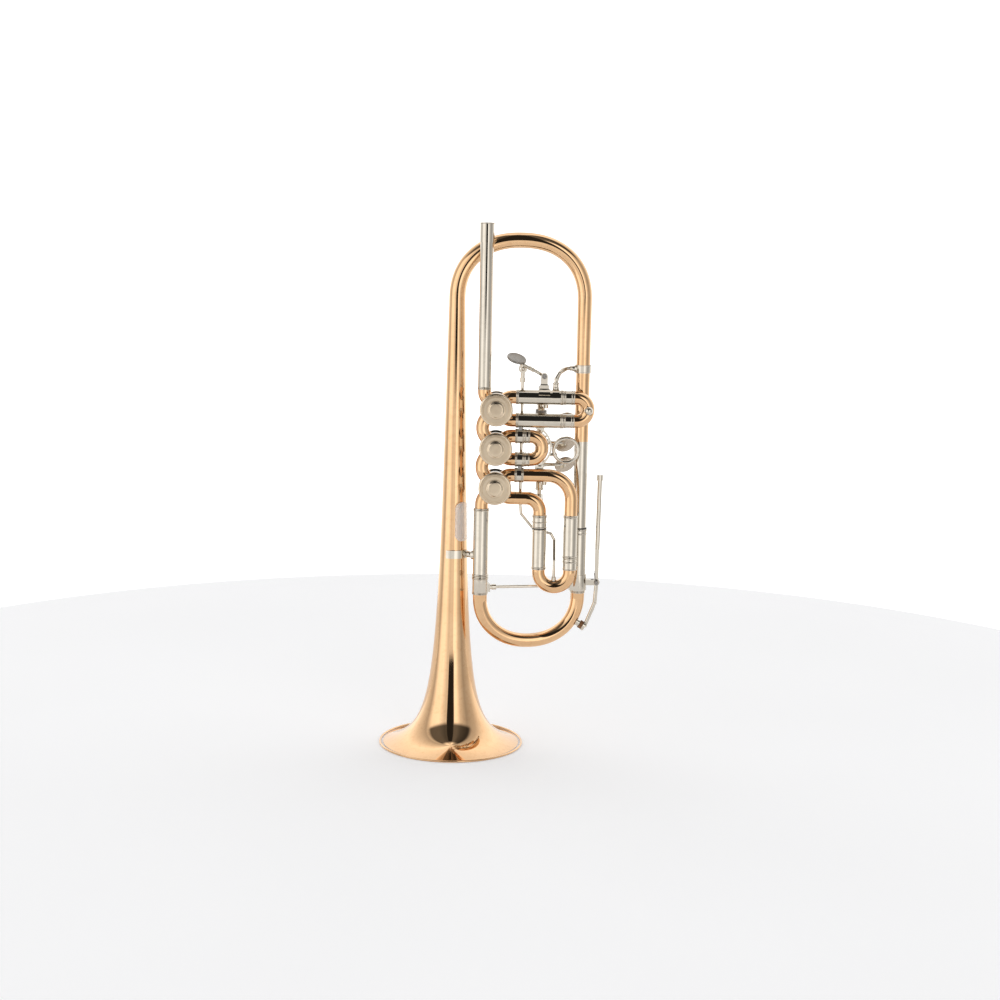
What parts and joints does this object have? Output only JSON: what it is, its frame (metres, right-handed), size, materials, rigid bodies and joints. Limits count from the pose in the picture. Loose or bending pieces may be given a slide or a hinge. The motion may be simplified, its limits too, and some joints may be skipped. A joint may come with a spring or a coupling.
{
  "type": "rotary valve trumpet",
  "caption": "Rotary-valve trumpet in B flat with gold-brass bell and bows, nickel-silver slides, finger levers and a thumb trigger; it stands on its bell.",
  "frame": {"origin": "centre of the whole instrument's box in X and Y, on the surface that the bell stands on", "axes": "+Z along the bell and mouthpipe axes, up from the bell rim to the mouthpiece receiver; +X from the bell to the slides; valve caps face -Y, finger levers face +Y"},
  "size_m": [0.197, 0.13, 0.4665],
  "materials": {
    "gold_brass": "polished and lacquered",
    "nickel_silver": "polished and lacquered",
    "valve_cap_metal": "fine satin",
    "steel": "satin",
    "cork": "matte cork",
    "black_rubber": "matte",
    "clear_plastic": "clear"
  },
  "bodies": {
    "root": {"bell": "gold_brass", "bell_rim_bead": "gold_brass", "top_bow": "gold_brass", "leg_tube": "nickel_silver", "mouthpipe": "nickel_silver", "mouthpiece_receiver": "nickel_silver", "mouthpipe_saddle": "nickel_silver", "entry_crook": "gold_brass", "link_crooks": "gold_brass", "exit_crook": "gold_brass", "valve_casing_1": "nickel_silver", "valve_casing_2": "nickel_silver", "valve_casing_3": "nickel_silver", "bearing_plate_1": "valve_cap_metal", "bearing_plate_2": "valve_cap_metal", "bearing_plate_3": "valve_cap_metal", "valve_cap_1": "valve_cap_metal", "valve_cap_2": "valve_cap_metal", "valve_cap_3": "valve_cap_metal", "stop_corks": "cork", "slide_crooks": "gold_brass", "slide_1_sleeves": "nickel_silver", "slide_2_sleeves": "nickel_silver", "slide_3_sleeves": "nickel_silver", "slide_3_crooks": "gold_brass", "main_sleeve": "nickel_silver", "slide_bumpers": "black_rubber", "spacer_posts": "steel", "trigger_bracket": "nickel_silver", "lever_axle": "nickel_silver", "lever_springs": "steel", "bell_brace": "nickel_silver", "upper_stay": "nickel_silver", "thumb_ring": "nickel_silver", "hand_guard": "clear_plastic"},
    "rotor_1": {"rotor_1": "steel"},
    "rotor_2": {"rotor_2": "steel"},
    "rotor_3": {"rotor_3": "steel"},
    "slide_1": {"slide_1_bow": "gold_brass", "slide_1_legs": "nickel_silver", "slide_1_knob": "nickel_silver"},
    "slide_2": {"slide_2_bow": "gold_brass", "slide_2_legs": "nickel_silver"},
    "slide_3": {"slide_3_bow": "gold_brass", "slide_3_legs": "nickel_silver", "slide_3_push_rod": "nickel_silver"},
    "trigger": {"trigger_lever": "nickel_silver"},
    "tuning_slide": {"tuning_bow": "gold_brass", "tuning_legs": "nickel_silver", "tuning_brace": "nickel_silver", "water_key_post": "nickel_silver", "water_key_spring": "steel"},
    "water_key": {"water_key_lever": "nickel_silver", "water_key_cork": "cork"},
    "lever_1": {"finger_lever_1": "nickel_silver"},
    "lever_2": {"finger_lever_2": "nickel_silver"},
    "lever_3": {"finger_lever_3": "nickel_silver"},
    "link_1": {"link_rod_1": "nickel_silver"},
    "link_2": {"link_rod_2": "nickel_silver"},
    "link_3": {"link_rod_3": "nickel_silver"}
  },
  "joints": [
    {"name": "lever_1", "type": "hinge", "parent": "root", "child": "lever_1", "pos_m": [0.0425, 0.02086, 0.3064], "axis": [0, 0, -1], "range_deg": [0, 34], "stiffness_Nm_per_rad": 0.05, "springref_deg": -28.65},
    {"name": "rotor_1", "type": "hinge", "parent": "root", "child": "rotor_1", "pos_m": [0.0025, -0.016, 0.3064], "axis": [0, -1, 0], "range_deg": [0, 90]},
    {"name": "link_1", "type": "hinge", "parent": "rotor_1", "child": "link_1", "pos_m": [0.00639, 0.00785, 0.31029], "axis": [0, -1, 0], "range_deg": [-90, 0]},
    {"name": "lever_2", "type": "hinge", "parent": "root", "child": "lever_2", "pos_m": [0.0425, 0.02086, 0.272], "axis": [0, 0, -1], "range_deg": [0, 34], "stiffness_Nm_per_rad": 0.05, "springref_deg": -28.65},
    {"name": "rotor_2", "type": "hinge", "parent": "root", "child": "rotor_2", "pos_m": [0.0025, -0.016, 0.272], "axis": [0, -1, 0], "range_deg": [0, 90]},
    {"name": "link_2", "type": "hinge", "parent": "rotor_2", "child": "link_2", "pos_m": [0.00639, 0.00785, 0.27589], "axis": [0, -1, 0], "range_deg": [-90, 0]},
    {"name": "lever_3", "type": "hinge", "parent": "root", "child": "lever_3", "pos_m": [0.0425, 0.02086, 0.2376], "axis": [0, 0, -1], "range_deg": [0, 34], "stiffness_Nm_per_rad": 0.05, "springref_deg": -28.65},
    {"name": "rotor_3", "type": "hinge", "parent": "root", "child": "rotor_3", "pos_m": [0.0025, -0.016, 0.2376], "axis": [0, -1, 0], "range_deg": [0, 90]},
    {"name": "link_3", "type": "hinge", "parent": "rotor_3", "child": "link_3", "pos_m": [0.00639, 0.00785, 0.24149], "axis": [0, -1, 0], "range_deg": [-90, 0]},
    {"name": "slide_1", "type": "slide", "parent": "root", "child": "slide_1", "axis": [1, 0, 0], "range_m": [0, 0.025]},
    {"name": "slide_2", "type": "slide", "parent": "root", "child": "slide_2", "axis": [1, 0, 0], "range_m": [0, 0.0045]},
    {"name": "slide_3", "type": "slide", "parent": "root", "child": "slide_3", "axis": [0, 0, -1], "range_m": [0, 0.01276], "stiffness_N_per_m": 80, "springref_m": -0.02},
    {"name": "trigger", "type": "hinge", "parent": "root", "child": "trigger", "pos_m": [0.0441, -0.0064, 0.3344], "axis": [0, -1, 0], "range_deg": [0, 38.05]},
    {"name": "tuning_slide", "type": "slide", "parent": "root", "child": "tuning_slide", "axis": [0, 0, -1], "range_m": [0, 0.025]},
    {"name": "water_key", "type": "hinge", "parent": "tuning_slide", "child": "water_key", "pos_m": [0.0947, 0, 0.1502], "axis": [0, -1, 0], "range_deg": [0, 4.5], "stiffness_Nm_per_rad": 0.08, "springref_deg": -28.65}
  ],
  "couplings": [
    {"joint": "rotor_1", "follows": "lever_1", "ratio": 2.647},
    {"joint": "link_1", "follows": "lever_1", "ratio": -2.647},
    {"joint": "rotor_2", "follows": "lever_2", "ratio": 2.647},
    {"joint": "link_2", "follows": "lever_2", "ratio": -2.647},
    {"joint": "rotor_3", "follows": "lever_3", "ratio": 2.647},
    {"joint": "link_3", "follows": "lever_3", "ratio": -2.647},
    {"joint": "trigger", "follows": "slide_3", "rad_per_m": 51.968}
  ]
}
